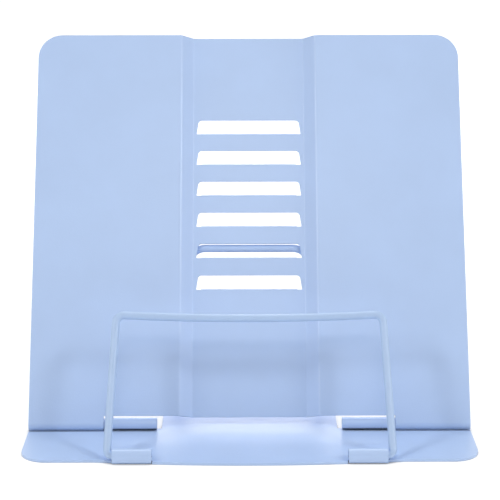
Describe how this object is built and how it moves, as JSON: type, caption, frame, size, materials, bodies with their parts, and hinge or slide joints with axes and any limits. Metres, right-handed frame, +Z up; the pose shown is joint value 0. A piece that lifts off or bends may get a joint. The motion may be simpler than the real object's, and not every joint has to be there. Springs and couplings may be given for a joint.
{
  "type": "book stand",
  "caption": "Folding sheet-metal book stand: a leaning back panel with windows, a base ledge, a wire strut that sets the angle and a wire clip for the pages.",
  "frame": {"origin": "underside of the base, in the middle of its width, straight below the axis of the hinge between base and panel", "axes": "+X to the reader's right, +Y to the back, +Z up; the panel leans back towards +Y"},
  "size_m": [0.2, 0.1327, 0.1691],
  "materials": {
    "sheet": "satin periwinkle powder coat",
    "wire": "satin periwinkle powder coat",
    "pin": "satin periwinkle powder coat"
  },
  "bodies": {
    "base": {"base_plate": "sheet", "hinge_pin_left": "pin", "hinge_pin_right": "pin"},
    "panel": {"back_panel": "sheet"},
    "strut": {"strut_wire": "wire"},
    "clip": {"page_clip": "wire"}
  },
  "joints": [
    {"name": "panel_tilt", "type": "hinge", "parent": "base", "child": "panel", "pos_m": [0, 0, 0.00305], "axis": [1, 0, 0], "range_deg": [0, 10]},
    {"name": "strut_swing", "type": "hinge", "parent": "base", "child": "strut", "pos_m": [0, 0.0845, 0.0028], "axis": [1, 0, 0], "range_deg": [-120, 0]},
    {"name": "clip_swing", "type": "hinge", "parent": "base", "child": "clip", "pos_m": [0, -0.0384, 0.0031], "axis": [1, 0, 0], "range_deg": [-10, 122]}
  ]
}
